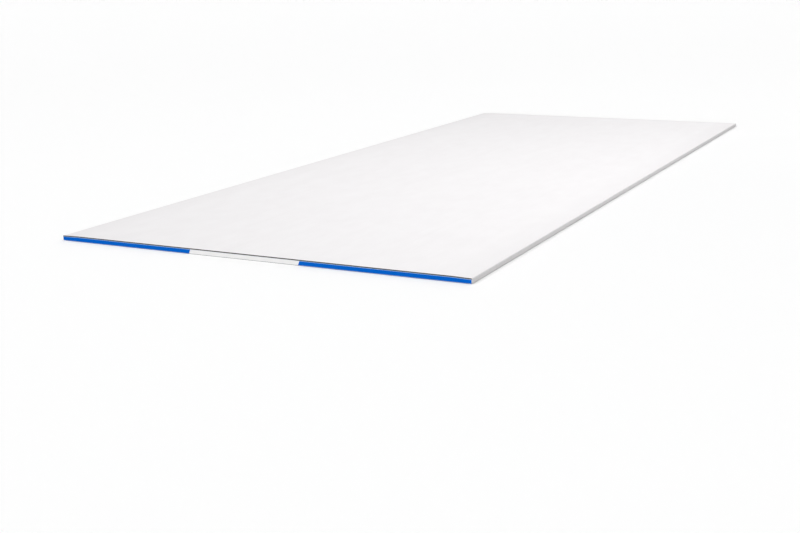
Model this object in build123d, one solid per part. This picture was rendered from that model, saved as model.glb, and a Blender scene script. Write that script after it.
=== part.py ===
from build123d import *

import os

# A full sheet of plasterboard, in millimetres, lying face up on its back.
# X runs across the width, Y along the length and Z out of the face.
# The origin is the centre of the back, on the surface that the sheet lies on.

# Board
BOARD_WIDTH = 1200.0
BOARD_LENGTH = 3000.0
BOARD_THICKNESS = 15.0

# Taper that is pressed into the face along both long edges, for the joint filler
TAPER_WIDTH = 50.0
TAPER_DEPTH = 1.3
TAPER_CREST_RADIUS = 500.0

# Long edges, where the face paper is scored twice and folded round the core
FACE_FOLD_RADIUS = 2.4
BACK_FOLD_RADIUS = 2.0

# Back liner, glued over the flaps of the face paper and short of the long edges
LINER_MARGIN = 9.0
LINER_THICKNESS = 0.4

# Printed paper tape, glued over the whole of each cut end
TAPE_THICKNESS = 0.25
TAPE_FACE_MARGIN = 2.8
TAPE_BACK_MARGIN = 0.3
TAPE_SIDE_MARGIN = 1.5


def face_height(from_edge):
    """Height of the face above the floor, at a distance in from a long edge."""
    short_of_crest = max(0.0, TAPER_WIDTH - from_edge)
    return BOARD_THICKNESS - TAPER_DEPTH * short_of_crest / TAPER_WIDTH


def board():
    """The gypsum core with its bonded papers: one profile, sawn to length."""
    half_width = BOARD_WIDTH / 2
    crest = (half_width - TAPER_WIDTH, BOARD_THICKNESS)
    face_fold = (half_width, face_height(0))
    back_fold = (half_width, LINER_THICKNESS)
    liner_edge = half_width - LINER_MARGIN

    with BuildPart() as part:
        with BuildSketch(Plane.XZ):
            with BuildLine():
                FilletPolyline(
                    (0, BOARD_THICKNESS),
                    crest,
                    face_fold,
                    back_fold,
                    (liner_edge, LINER_THICKNESS),
                    radius=(TAPER_CREST_RADIUS, FACE_FOLD_RADIUS, BACK_FOLD_RADIUS),
                )
                Polyline((liner_edge, LINER_THICKNESS), (liner_edge, 0), (0, 0))
                mirror(about=Plane.YZ)
            make_face()
        extrude(amount=BOARD_LENGTH / 2, both=True)
    return part.part


def end_tape():
    """The strip over the front end, which follows the tapers a margin inside them."""
    half_width = BOARD_WIDTH / 2 - TAPE_SIDE_MARGIN
    crest = BOARD_WIDTH / 2 - TAPER_WIDTH
    low = LINER_THICKNESS + TAPE_BACK_MARGIN

    with BuildPart() as part:
        with BuildSketch(Plane.XZ.offset(BOARD_LENGTH / 2)):
            with BuildLine():
                Polyline(
                    (0, BOARD_THICKNESS - TAPE_FACE_MARGIN),
                    (crest, BOARD_THICKNESS - TAPE_FACE_MARGIN),
                    (half_width, face_height(TAPE_SIDE_MARGIN) - TAPE_FACE_MARGIN),
                    (half_width, low),
                    (0, low),
                )
                mirror(about=Plane.YZ)
            make_face()
        extrude(amount=TAPE_THICKNESS)
    return part.part


front_tape = end_tape()
nodes = {
    "board": board(),
    "end_tape_front": front_tape,
    "end_tape_rear": mirror(front_tape, about=Plane.XZ),
}

os.makedirs("parts", exist_ok=True)
for name, solid in nodes.items():
    export_step(solid, f"parts/{name}.step")
    print(f"{name}: {solid.volume / 1000:.1f} cm3")
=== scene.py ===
import math

import bmesh
import bpy
from mathutils import Matrix, Vector, noise


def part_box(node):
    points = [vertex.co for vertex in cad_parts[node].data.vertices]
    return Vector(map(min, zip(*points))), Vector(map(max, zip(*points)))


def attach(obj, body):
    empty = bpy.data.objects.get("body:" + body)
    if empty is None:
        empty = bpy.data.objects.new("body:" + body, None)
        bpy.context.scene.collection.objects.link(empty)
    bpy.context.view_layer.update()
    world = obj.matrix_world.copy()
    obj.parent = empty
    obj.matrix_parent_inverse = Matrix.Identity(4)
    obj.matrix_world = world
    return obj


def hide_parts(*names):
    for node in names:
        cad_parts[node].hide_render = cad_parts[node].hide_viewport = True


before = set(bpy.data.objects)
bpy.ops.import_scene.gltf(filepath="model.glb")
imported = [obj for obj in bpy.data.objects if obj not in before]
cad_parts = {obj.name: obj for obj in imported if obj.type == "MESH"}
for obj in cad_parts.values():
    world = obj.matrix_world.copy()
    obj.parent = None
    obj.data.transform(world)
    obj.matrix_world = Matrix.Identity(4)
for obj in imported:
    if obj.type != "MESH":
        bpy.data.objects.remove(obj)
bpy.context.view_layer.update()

# Camera. It stands low in front of the sheet's right-hand corner and looks along the sheet, towards
# its far left. Its place comes from the four edges of the top face in the photograph.
CAMERA_AT = Vector((1.6537, -4.0067, 0.7107))
CAMERA_TURN = math.radians(26.274)
CAMERA_DIP = math.radians(13.796)
CAMERA_ROLL = math.radians(-0.790)
CAMERA_LENS = 55.14
CAMERA_SEES_TO = 200.0

camera_data = bpy.data.cameras.new("camera")
camera_data.lens = CAMERA_LENS
camera_data.clip_end = CAMERA_SEES_TO
camera = bpy.data.objects.new("camera", camera_data)
camera.matrix_world = (
    Matrix.Translation(CAMERA_AT)
    @ Matrix.Rotation(CAMERA_TURN, 4, "Z")
    @ Matrix.Rotation(math.pi / 2 - CAMERA_DIP, 4, "X")
    @ Matrix.Rotation(CAMERA_ROLL, 4, "Z")
)
bpy.context.scene.collection.objects.link(camera)
bpy.context.scene.camera = camera
bpy.context.scene.view_settings.view_transform = "Standard"

# Light. An even white sky, a soft sun from the front left that puts the shadow on the right, low
# fills from the front and the rear for the cut ends, and a large soft panel over the right-hand
# side, where the face is brightest.
SKY_STRENGTH = 0.213
SUNS = {
    "key": (0.93, 30, Vector((-0.55, -0.25, 0.80))),
    "front_fill": (1.84, 60, Vector((-0.15, -0.98, 0.12))),
    "rear_fill": (1.00, 60, Vector((0.12, 0.98, 0.12))),
}
PANEL_AT = Vector((1.28, -0.24, 4.0))
PANEL_SIZE = 3.0
PANEL_POWER = 89.0


def feed(tree, socket, given):
    """Gives a socket what it takes, either a plain value or another node's output."""
    if isinstance(given, bpy.types.NodeSocket):
        tree.links.new(given, socket)
    else:
        socket.default_value = given


def ease(tree, value, start, end, low=0.0, high=1.0):
    """Goes evenly from low to high as the value goes from start to end, and no further."""
    ramp = tree.nodes.new("ShaderNodeMapRange")
    feed(tree, ramp.inputs["Value"], value)
    feed(tree, ramp.inputs["From Min"], start)
    feed(tree, ramp.inputs["From Max"], end)
    feed(tree, ramp.inputs["To Min"], low)
    feed(tree, ramp.inputs["To Max"], high)
    return ramp.outputs["Result"]


def number_sum(tree, operation, *given):
    """The outcome of one sum on numbers."""
    node = tree.nodes.new("ShaderNodeMath")
    node.operation = operation
    for socket, value in zip(node.inputs, given):
        feed(tree, socket, value)
    return node.outputs["Value"]


def looked_at(tree):
    """1 for rays of the camera, reflections and glass, and 0 for the rays that carry light."""
    ray = tree.nodes.new("ShaderNodeLightPath").outputs
    looks = number_sum(tree, "ADD", ray["Is Camera Ray"], ray["Is Glossy Ray"])
    return number_sum(tree, "ADD", looks, ray["Is Transmission Ray"])


world = bpy.data.worlds.new("studio")
world.use_nodes = True
bpy.context.scene.world = world
tree = world.node_tree
background = tree.nodes["Background"]
background.inputs["Color"].default_value = (1.0, 1.0, 1.0, 1.0)
feed(tree, background.inputs["Strength"], ease(tree, looked_at(tree), 0.0, 1.0, SKY_STRENGTH, 1.0))

for name, (strength, spread, source) in SUNS.items():
    sun_data = bpy.data.lights.new(name, "SUN")
    sun_data.energy = strength
    sun_data.angle = math.radians(spread)
    sun = bpy.data.objects.new(name, sun_data)
    sun.matrix_world = source.to_track_quat("Z", "Y").to_matrix().to_4x4()
    bpy.context.scene.collection.objects.link(sun)

panel_data = bpy.data.lights.new("panel", "AREA")
panel_data.energy = PANEL_POWER
panel_data.size = PANEL_SIZE
panel = bpy.data.objects.new("panel", panel_data)
panel.matrix_world = Matrix.Translation(PANEL_AT)
bpy.context.scene.collection.objects.link(panel)

# Floor. A plain pale studio floor, a hair under the sheet's back, that runs out past the view and
# keeps the shadow. The camera and reflections see it paler, an even near-white where nothing shades
# it. The panel's share of the light falls off as the square of fade / (fade + distance squared).
FLOOR_REACH = 80.0
FLOOR_BELOW = 0.0001
FLOOR_SHADE = 0.80
SEEN_WHITE = 0.99
OPEN_LIGHT = 0.616
PANEL_LIGHT = 0.479
PANEL_FADE = 20.2


def new_finish(name):
    """An empty finish: the material, its node tree and the shader that its colour goes into."""
    finish = bpy.data.materials.new(name)
    finish.use_nodes = True
    return finish, finish.node_tree, finish.node_tree.nodes["Principled BSDF"]


def vector_sum(tree, operation, *given):
    """The node of one sum on vectors."""
    node = tree.nodes.new("ShaderNodeVectorMath")
    node.operation = operation
    for socket, value in zip(node.inputs, given):
        feed(tree, socket, value)
    return node


floor_finish, tree, shader = new_finish("studio_floor")
shader.inputs["Roughness"].default_value = 1.0
shader.inputs["Specular IOR Level"].default_value = 0.0
place = tree.nodes.new("ShaderNodeTexCoord").outputs["Object"]
panel_foot = (PANEL_AT.x, PANEL_AT.y, 0)
from_panel = vector_sum(tree, "DISTANCE", place, panel_foot).outputs["Value"]
reach = number_sum(tree, "MULTIPLY_ADD", from_panel, from_panel, PANEL_FADE)
panel_share = number_sum(tree, "POWER", number_sum(tree, "DIVIDE", PANEL_FADE, reach), 2.0)
light = number_sum(tree, "MULTIPLY_ADD", panel_share, PANEL_LIGHT, OPEN_LIGHT)
paler = number_sum(tree, "DIVIDE", SEEN_WHITE, light)
feed(tree, shader.inputs["Base Color"], ease(tree, looked_at(tree), 0.0, 1.0, FLOOR_SHADE, paler))

floor_shape = bmesh.new()
below = Matrix.Translation((0, 0, -FLOOR_BELOW))
bmesh.ops.create_grid(floor_shape, x_segments=1, y_segments=1, size=FLOOR_REACH, matrix=below)
floor_mesh = bpy.data.meshes.new("floor")
floor_shape.to_mesh(floor_mesh)
floor_shape.free()
floor_mesh.materials.append(floor_finish)
floor = bpy.data.objects.new("floor", floor_mesh)
bpy.context.scene.collection.objects.link(floor)

# Board. A core of set gypsum between two papers, made as one endless ribbon and sawn to length. The
# white face paper is scored and folded round both long edges, which are pressed thinner for the
# joint filler, and the grey-brown back liner is glued down over its flaps.
TAPER_WIDTH = 0.050
TAPER_DEPTH = 0.0013
CREST_BLEND = 0.0065
CREST_STEPS = 4
FACE_FOLD = 0.0024
BACK_FOLD = 0.0020
FOLD_STEPS = 6
LINER_MARGIN = 0.009
LINER_THICKNESS = 0.0004
OUTER_PLY = 0.00013
PAPER_THICKNESS = 0.0004
BROKEN_BACK = 0.0012
BROKEN_STEP = 0.005
BROKEN_DRIFT = 0.3
DRIFTS_PER_STEP = 0.7
MID_CELL = 0.5
BROKEN_SCORES = (0.0128, 0.0136)
LUMP_SIZE = 0.0006
LUMPS_PER_METRE = (160, 420)
GRIT_SIZE = 0.00036
GRITS_PER_METRE = (610, 1100)
GRIT_OFF_LUMPS = 5
EDGE_COLOUR_FROM = 0.0006
SHARP_OVER = math.radians(35)
SQUARELY = 0.9
SAME = 1e-6
NEAR = 2e-5
PAPER, LINER, PLIES_AND_PAINTED_SHADE, CORE, BROKEN = range(5)

board_low, board_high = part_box("board")
tape_low, tape_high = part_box("end_tape_front")
half_width = board_high.x
thickness = board_high.z
crest = half_width - TAPER_WIDTH
liner_edge = half_width - LINER_MARGIN
taper_slope = TAPER_DEPTH / TAPER_WIDTH


def cut_faces(shape, faces, point, normal):
    """Scores some of a shape's faces along a plane, and takes corners very near it as on it."""
    parts = {part for face in faces for part in (face, *face.edges, *face.verts)}
    bmesh.ops.bisect_plane(
        shape, geom=list(parts), dist=NEAR, plane_co=point, plane_no=normal
    )


def box_shape(lowest, highest):
    """A closed box between two corners, scored across at both crests and pressed to the tapers."""
    shape = bmesh.new()
    place = Matrix.Translation((lowest + highest) / 2)
    size = Matrix.Diagonal(highest - lowest).to_4x4()
    bmesh.ops.create_cube(shape, size=1.0, matrix=place @ size)
    for across in (-crest, crest):
        cut_faces(shape, shape.faces, (across, 0, 0), (1, 0, 0))
    for corner in shape.verts:
        beyond = abs(corner.co.x) - crest
        if corner.co.z > highest.z - SAME and beyond > 0:
            corner.co.z -= taper_slope * beyond
    shape.normal_update()
    return shape


def lengthwise(shape, across, height):
    """The edges that run along the board at a distance from its middle and a height."""
    return [
        edge
        for edge in shape.edges
        if abs(edge.verts[0].co.y - edge.verts[1].co.y) > SAME
        and all(
            abs(abs(corner.co.x) - across) < SAME and abs(corner.co.z - height) < SAME
            for corner in edge.verts
        )
    ]


def inset(shape, faces, width, depth):
    """Insets faces as one, by a width within their plane or a depth below it."""
    return bmesh.ops.inset_region(
        shape,
        faces=faces,
        thickness=width,
        depth=-depth,
        use_even_offset=True,
        use_boundary=True,
    )["faces"]


def middle_of(part):
    """Where the middle of a corner, an edge or a face is."""
    corners = getattr(part, "verts", [part])
    return tuple(sum((corner.co for corner in corners), Vector()) / len(corners))


def put_in_order(shape):
    """Orders a shape's parts by place, because a bevel leaves them in another order on each run."""
    for parts in (shape.verts, shape.edges, shape.faces):
        ranks = {part: rank for rank, part in enumerate(sorted(parts, key=middle_of))}
        parts.sort(key=ranks.get)


def finish_piece(name, shape, finishes, node):
    """Makes a shape a piece with its finishes, which rides with the sheet and replaces a node."""
    put_in_order(shape)
    mesh = bpy.data.meshes.new(name)
    shape.to_mesh(mesh)
    shape.free()
    for finish in finishes:
        mesh.materials.append(finish)
    mesh.shade_smooth()
    mesh.set_sharp_from_angle(angle=SHARP_OVER)
    piece = bpy.data.objects.new(name, mesh)
    bpy.context.scene.collection.objects.link(piece)
    evened = piece.modifiers.new("even_shading", "WEIGHTED_NORMAL")
    evened.keep_sharp = True
    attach(piece, "root")
    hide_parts(node)


board_shape = box_shape(board_low + Vector((0, 0, LINER_THICKNESS)), board_high)
for across in (-liner_edge, liner_edge):
    cut_faces(board_shape, board_shape.faces, (across, 0, 0), (1, 0, 0))
under_liner = [
    face
    for face in board_shape.faces
    if face.normal.z < -SQUARELY and abs(face.calc_center_median().x) < liner_edge
]
inset(board_shape, under_liner, 0.0, -LINER_THICKNESS)

board_shape.normal_update()
for facing in (-1, 1):
    cut_end = [face for face in board_shape.faces if face.normal.y * facing > SQUARELY]
    bmesh.ops.dissolve_faces(board_shape, faces=cut_end)
for across, height, size, steps in (
    (crest, thickness, CREST_BLEND, CREST_STEPS),
    (half_width, thickness - TAPER_DEPTH, FACE_FOLD, FOLD_STEPS),
    (half_width, LINER_THICKNESS, BACK_FOLD, FOLD_STEPS),
):
    bmesh.ops.bevel(
        board_shape,
        geom=lengthwise(board_shape, across, height),
        offset=size,
        segments=steps,
        profile=0.5,
        affect="EDGES",
        material=-1,
    )

board_shape.normal_update()
cut_ends = [face for face in board_shape.faces if abs(face.normal.y) > SQUARELY]
inset(board_shape, cut_ends, OUTER_PLY, 0.0)
for face in board_shape.faces:
    middle = face.calc_center_median()
    under = middle.z < LINER_THICKNESS and abs(middle.x) < liner_edge + SAME
    face.material_index = LINER if under else PAPER
for face in inset(board_shape, cut_ends, PAPER_THICKNESS - OUTER_PLY, 0.0):
    face.material_index = PLIES_AND_PAINTED_SHADE
for face in cut_ends:
    face.material_index = CORE


def faces_of(shape, wearing, first=-1.0, last=1.0):
    """The faces with a finish whose middle lies between two distances from the board's middle."""
    return [
        face
        for face in shape.faces
        if face.material_index == wearing and first < abs(face.calc_center_median().x) < last
    ]


def score_under_face(shape, wearing, height):
    """Scores the faces with a finish at a height, and past each crest in line with its taper."""
    cut_faces(shape, faces_of(shape, wearing, last=crest), (0, 0, height), (0, 0, 1))
    for side in (-1, 1):
        outer = [
            face
            for face in faces_of(shape, wearing, first=crest)
            if face.calc_center_median().x * side > 0
        ]
        cut_faces(shape, outer, (side * crest, 0, height), (side * taper_slope, 0, 1))


for side in (-1, 1):
    cut_faces(board_shape, faces_of(board_shape, CORE), (side * crest, 0, 0), (1, 0, 0))
cut_faces(board_shape, faces_of(board_shape, CORE), (0, 0, tape_low.z), (0, 0, 1))
score_under_face(board_shape, CORE, tape_high.z)
broken = [
    face
    for face in faces_of(board_shape, CORE)
    if not tape_low.z < face.calc_center_median().z < tape_high.z - TAPER_DEPTH / 2
]
# The walls of the recess get the dark plies finish as painted shade.
for face in inset(board_shape, broken, 0.0, BROKEN_BACK):
    face.material_index = PLIES_AND_PAINTED_SHADE
# The floor of the recess gets the near-black finish: painted shade in the broken-back gap.
for face in broken:
    face.material_index = BROKEN

steps_a_side = round(half_width / BROKEN_STEP)
for step in range(-steps_a_side, steps_a_side):
    drift = BROKEN_DRIFT * noise.noise((step * DRIFTS_PER_STEP, MID_CELL, MID_CELL))
    across = (step + 0.5 + drift) * BROKEN_STEP
    cut_faces(board_shape, faces_of(board_shape, BROKEN), (across, 0, 0), (1, 0, 0))
for height in BROKEN_SCORES:
    cut_faces(board_shape, faces_of(board_shape, BROKEN), (0, 0, height), (0, 0, 1))
for corner in {corner for face in faces_of(board_shape, BROKEN) for corner in face.verts}:
    x, y, z = corner.co
    lump = noise.noise((x * LUMPS_PER_METRE[0], y, z * LUMPS_PER_METRE[1]))
    grit = noise.noise((x * GRITS_PER_METRE[0], y + GRIT_OFF_LUMPS, z * GRITS_PER_METRE[1]))
    corner.co.y -= math.copysign(LUMP_SIZE * lump + GRIT_SIZE * grit, y)


def grain(tree, per_metre, detail=2.0):
    """Cloudy noise from 0 to 1 on a piece, with so many clouds to the metre along X, Y and Z."""
    place = tree.nodes.new("ShaderNodeTexCoord").outputs["Object"]
    texture = tree.nodes.new("ShaderNodeTexNoise")
    texture.inputs["Scale"].default_value = 1.0
    texture.inputs["Detail"].default_value = detail
    feed(tree, texture.inputs["Vector"], vector_sum(tree, "MULTIPLY", place, per_metre).outputs[0])
    return texture.outputs["Fac"]


def tint(tree, amount, first, second):
    """A colour that goes from the first to the second as the amount goes from 0 to 1."""
    mix = tree.nodes.new("ShaderNodeMix")
    mix.data_type = "RGBA"
    feed(tree, mix.inputs["Factor"], amount)
    # The colour sockets share their names with others, so they are told apart by their numbers.
    feed(tree, mix.inputs[6], first)
    feed(tree, mix.inputs[7], second)
    return mix.outputs[2]


def total(tree, *parts):
    """The sum of some values, each times its own share."""
    result = 0.0
    for value, share in parts:
        result = number_sum(tree, "MULTIPLY_ADD", value, share, result)
    return result


def raise_by(tree, shader, height):
    """Raises a surface by a height in metres, for the light alone."""
    bump = tree.nodes.new("ShaderNodeBump")
    feed(tree, bump.inputs["Height"], height)
    bump.inputs["Distance"].default_value = 1.0
    feed(tree, shader.inputs["Normal"], bump.outputs["Normal"])


paper, tree, shader = new_finish("face_paper")
clouds = grain(tree, (22, 12, 22), 3.0)
streaks = grain(tree, (80, 1.3, 80), 3.0)
felt = grain(tree, (190, 150, 190), 4.0)
fibres = grain(tree, (1500, 260, 1500), 3.0)
specks = grain(tree, (330, 210, 330))
wrinkles = grain(tree, (60, 430, 22))
place = tree.nodes.new("ShaderNodeTexCoord").outputs["Object"]
across = tree.nodes.new("ShaderNodeSeparateXYZ")
feed(tree, across.inputs[0], vector_sum(tree, "ABSOLUTE", place).outputs[0])
folded = ease(tree, across.outputs["X"], half_width - FACE_FOLD, half_width - EDGE_COLOUR_FROM)
# Painted shade: the face paper goes darker across the tapers, out to the long edges.
taper_painted_shade = ease(tree, across.outputs["X"], crest - TAPER_WIDTH, half_width, 0.0, 0.6)
white = tint(tree, ease(tree, clouds, 0.3, 0.7), (0.890, 0.873, 0.881, 1), (0.909, 0.894, 0.902, 1))
white = tint(tree, ease(tree, streaks, 0.5, 0.8, 0.0, 0.35), white, (0.862, 0.846, 0.852, 1))
white = tint(tree, ease(tree, felt, 0.5, 0.8, 0.0, 0.40), white, (0.858, 0.841, 0.846, 1))
white = tint(tree, taper_painted_shade, white, (0.850, 0.834, 0.841, 1))
white = tint(tree, ease(tree, specks, 0.76, 0.80, 0.0, 0.55), white, (0.62, 0.595, 0.575, 1))
# The wrapped edge is darker where its puckers dip: painted shade in the creases, over the edge's own
# tone.
edge = tint(tree, ease(tree, wrinkles, 0.42, 0.66), (0.905, 0.890, 0.897, 1), (0.85, 0.835, 0.84, 1))
feed(tree, shader.inputs["Base Color"], tint(tree, folded, white, edge))
feed(tree, shader.inputs["Roughness"], ease(tree, felt, 0.3, 0.7, 0.80, 0.90))
shader.inputs["Specular IOR Level"].default_value = 0.2
puckers = total(tree, (wrinkles, ease(tree, folded, 0.0, 1.0, 0.0, -0.000016)))
height = total(tree, (felt, 0.000020), (fibres, 0.000012), (streaks, 0.000010), (puckers, 1.0))
raise_by(tree, shader, height)

liner, tree, shader = new_finish("back_liner")
clouds = grain(tree, (16, 7, 16), 3.0)
streaks = grain(tree, (120, 2.2, 120), 3.0)
felt = grain(tree, (260, 180, 260), 3.0)
fibres = grain(tree, (900, 260, 900))
dark_flecks = grain(tree, (420, 170, 420))
light_flecks = grain(tree, (380, 150, 391))
brown = tint(tree, ease(tree, clouds, 0.3, 0.7), (0.385, 0.345, 0.295, 1), (0.430, 0.390, 0.340, 1))
brown = tint(tree, ease(tree, streaks, 0.45, 0.8, 0.0, 0.5), brown, (0.33, 0.29, 0.24, 1))
brown = tint(tree, ease(tree, felt, 0.45, 0.75, 0.0, 0.4), brown, (0.48, 0.44, 0.39, 1))
brown = tint(tree, ease(tree, dark_flecks, 0.70, 0.76, 0.0, 0.7), brown, (0.16, 0.13, 0.10, 1))
brown = tint(tree, ease(tree, light_flecks, 0.71, 0.77, 0.0, 0.7), brown, (0.66, 0.62, 0.55, 1))
feed(tree, shader.inputs["Base Color"], brown)
feed(tree, shader.inputs["Roughness"], ease(tree, felt, 0.3, 0.7, 0.86, 0.94))
shader.inputs["Specular IOR Level"].default_value = 0.2
height = total(tree, (felt, 0.000022), (fibres, 0.000010), (streaks, 0.000014))
raise_by(tree, shader, height)

# The cut paper plies are grey-brown of their own, taken darker still as painted shade; the same
# finish lines the recess walls as painted shade.
plies_and_painted_shade, tree, shader = new_finish("cut_plies_and_painted_shade")
layers = grain(tree, (60, 60, 9000), 2.0)
dust = grain(tree, (520, 520, 520), 3.0)
grey = tint(tree, ease(tree, layers, 0.35, 0.65), (0.10, 0.091, 0.078, 1), (0.21, 0.194, 0.17, 1))
grey = tint(tree, ease(tree, dust, 0.60, 0.74, 0.0, 0.6), grey, (0.46, 0.44, 0.41, 1))
feed(tree, shader.inputs["Base Color"], grey)
shader.inputs["Roughness"].default_value = 0.95
shader.inputs["Specular IOR Level"].default_value = 0.1
raise_by(tree, shader, total(tree, (layers, 0.00003), (dust, 0.00008)))

# Painted shade: the broken-back core is painted near-black, standing in for the shade in the recess;
# its pale crumbs are the core's own colour.
broken_core_painted_shade, tree, shader = new_finish("broken_core_painted_shade")
lumps = grain(tree, (330, 330, 330), 4.0)
crumbs = grain(tree, (760, 760, 760), 3.0)
pits = grain(tree, (1500, 1500, 1500))
shade = tint(tree, ease(tree, lumps, 0.32, 0.68), (0.060, 0.056, 0.050, 1), (0.145, 0.137, 0.124, 1))
shade = tint(tree, ease(tree, crumbs, 0.62, 0.70, 0.0, 0.8), shade, (0.50, 0.485, 0.455, 1))
feed(tree, shader.inputs["Base Color"], shade)
shader.inputs["Roughness"].default_value = 0.97
shader.inputs["Specular IOR Level"].default_value = 0.1
raise_by(tree, shader, total(tree, (lumps, 0.00022), (crumbs, 0.00016), (pits, 0.00006)))

core, tree, shader = new_finish("gypsum_core")
pores = grain(tree, (1300, 1300, 1300), 3.0)
lumps = grain(tree, (260, 260, 260), 3.0)
chalk = tint(tree, ease(tree, lumps, 0.3, 0.7), (0.70, 0.685, 0.655, 1), (0.78, 0.77, 0.745, 1))
# The pores are painted darker where they dip: painted shade in the pits.
chalk = tint(tree, ease(tree, pores, 0.60, 0.72, 0.0, 0.7), chalk, (0.42, 0.405, 0.38, 1))
feed(tree, shader.inputs["Base Color"], chalk)
shader.inputs["Roughness"].default_value = 0.97
shader.inputs["Specular IOR Level"].default_value = 0.1
raise_by(tree, shader, total(tree, (pores, -0.00012), (lumps, 0.00016)))

board_finishes = [paper, liner, plies_and_painted_shade, core, broken_core_painted_shade]
finish_piece("board_sheet", board_shape, board_finishes, "board")

# End tapes. A strip of printed paper is glued over each sawn end, to keep the core from crumbling.
# It is blue with a slanted white band, and paler blue along its top and bottom. It stops short of
# the face, so that a dark line of cut paper and broken core shows above it, darkened with painted
# shade.
BAND_LEFT = -0.181
BAND_RIGHT = 0.143
PRINT_SLANT = math.radians(21)
MARGIN_ABOVE = 0.0012
MARGIN_BELOW = 0.0006
INK, BAND, PALE_INK, BARE = range(4)


def tape_grain(tree):
    """How the tape was laid, its own fine cloth mark and the streaks along it from its roll."""
    laid = grain(tree, (40, 40, 160), 3.0)
    cloth = grain(tree, (800, 800, 800), 4.0)
    rolled = grain(tree, (14, 14, 900), 3.0)
    return laid, cloth, rolled


ink, tree, shader = new_finish("blue_ink")
laid, cloth, rolled = tape_grain(tree)
pinholes = grain(tree, (900, 900, 900))
blue = tint(tree, ease(tree, cloth, 0.3, 0.7), (0.0, 0.115, 0.55, 1), (0.0, 0.142, 0.67, 1))
blue = tint(tree, ease(tree, laid, 0.45, 0.75, 0.0, 0.35), blue, (0.0, 0.093, 0.47, 1))
blue = tint(tree, ease(tree, rolled, 0.5, 0.8, 0.0, 0.4), blue, (0.0, 0.168, 0.76, 1))
blue = tint(tree, ease(tree, pinholes, 0.70, 0.76, 0.0, 0.6), blue, (0.30, 0.42, 0.72, 1))
feed(tree, shader.inputs["Base Color"], blue)
feed(tree, shader.inputs["Roughness"], ease(tree, cloth, 0.3, 0.7, 0.48, 0.66))
shader.inputs["Specular IOR Level"].default_value = 0.02
raise_by(tree, shader, total(tree, (cloth, 0.000012), (laid, 0.000030), (rolled, 0.000010)))

band, tree, shader = new_finish("white_band")
laid, cloth, rolled = tape_grain(tree)
pale = tint(tree, ease(tree, cloth, 0.3, 0.7), (0.90, 0.892, 0.892, 1), (0.93, 0.924, 0.924, 1))
pale = tint(tree, ease(tree, laid, 0.45, 0.75, 0.0, 0.3), pale, (0.875, 0.865, 0.862, 1))
pale = tint(tree, ease(tree, rolled, 0.5, 0.8, 0.0, 0.3), pale, (0.87, 0.86, 0.86, 1))
feed(tree, shader.inputs["Base Color"], pale)
feed(tree, shader.inputs["Roughness"], ease(tree, cloth, 0.3, 0.7, 0.55, 0.72))
shader.inputs["Specular IOR Level"].default_value = 0.1
raise_by(tree, shader, total(tree, (cloth, 0.000012), (laid, 0.000030), (rolled, 0.000010)))

# Paler blue along the top and bottom edges of the print.
pale_ink, tree, shader = new_finish("pale_ink")
cloth = grain(tree, (700, 700, 700), 3.0)
runs = grain(tree, (120, 120, 1600), 3.0)
pale = tint(tree, ease(tree, cloth, 0.3, 0.7), (0.20, 0.40, 0.72, 1), (0.31, 0.50, 0.80, 1))
pale = tint(tree, ease(tree, runs, 0.5, 0.75, 0.0, 0.5), pale, (0.50, 0.65, 0.86, 1))
feed(tree, shader.inputs["Base Color"], pale)
shader.inputs["Roughness"].default_value = 0.66
shader.inputs["Specular IOR Level"].default_value = 0.1
raise_by(tree, shader, total(tree, (cloth, 0.000012)))

bare, tree, shader = new_finish("bare_tape")
cloth = grain(tree, (700, 700, 700), 3.0)
pale = tint(tree, ease(tree, cloth, 0.3, 0.7), (0.76, 0.79, 0.83, 1), (0.83, 0.85, 0.88, 1))
feed(tree, shader.inputs["Base Color"], pale)
shader.inputs["Roughness"].default_value = 0.75
shader.inputs["Specular IOR Level"].default_value = 0.1
raise_by(tree, shader, total(tree, (cloth, 0.000012)))

for node, turn in (("end_tape_front", 0.0), ("end_tape_rear", math.pi)):
    tape_shape = box_shape(tape_low, tape_high)
    slant = (math.cos(PRINT_SLANT), 0, -math.sin(PRINT_SLANT))
    for at_face in (BAND_LEFT, BAND_RIGHT):
        cut_faces(tape_shape, tape_shape.faces, (at_face, 0, thickness), slant)
    for face in tape_shape.faces:
        face.material_index = BARE
    full_to = tape_high.z - MARGIN_ABOVE
    full_from = tape_low.z + MARGIN_BELOW
    score_under_face(tape_shape, BARE, full_to)
    cut_faces(tape_shape, tape_shape.faces, (0, 0, full_from), (0, 0, 1))
    tape_shape.normal_update()
    for face in [face for face in tape_shape.faces if face.normal.y < -SQUARELY]:
        middle = face.calc_center_median()
        from_top = full_to - middle.z - taper_slope * max(0.0, abs(middle.x) - crest)
        at_margin = from_top < 0 or middle.z < full_from
        at_face = middle.x + (thickness - middle.z) * math.tan(PRINT_SLANT)
        if BAND_LEFT < at_face < BAND_RIGHT:
            face.material_index = BARE if at_margin else BAND
        else:
            face.material_index = PALE_INK if at_margin else INK
    bmesh.ops.rotate(
        tape_shape, verts=tape_shape.verts, cent=(0, 0, 0), matrix=Matrix.Rotation(turn, 3, "Z")
    )
    tape_finishes = [ink, band, pale_ink, bare]
    finish_piece(node + "_print", tape_shape, tape_finishes, node)
